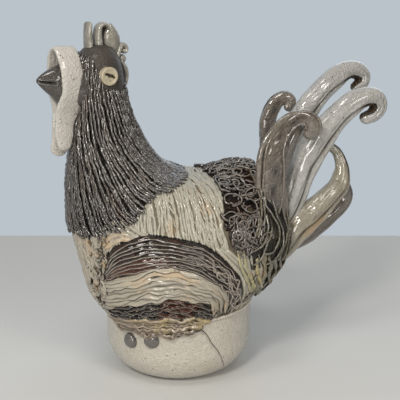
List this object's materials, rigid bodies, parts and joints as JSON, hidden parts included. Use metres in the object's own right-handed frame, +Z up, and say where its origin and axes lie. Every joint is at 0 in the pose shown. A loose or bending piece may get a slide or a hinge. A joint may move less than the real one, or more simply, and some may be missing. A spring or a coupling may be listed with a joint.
{
  "type": "stoneware hen figure",
  "caption": "Hand-built salt-glazed stoneware hen on a low round stand, with a fluted mantle, rolled plume tail and strap wattles; stands by its own weight.",
  "frame": {"origin": "centre of the stand's flat underside", "axes": "+Z up, the breast faces -X, the tail points to +X, the left flank faces -Y; the head is turned 22 degrees to the left"},
  "size_m": [0.3039, 0.1562, 0.3024],
  "materials": {
    "stoneware": "salt-glazed"
  },
  "bodies": {
    "root": {"stoneware_hen": "stoneware"}
  },
  "joints": []
}
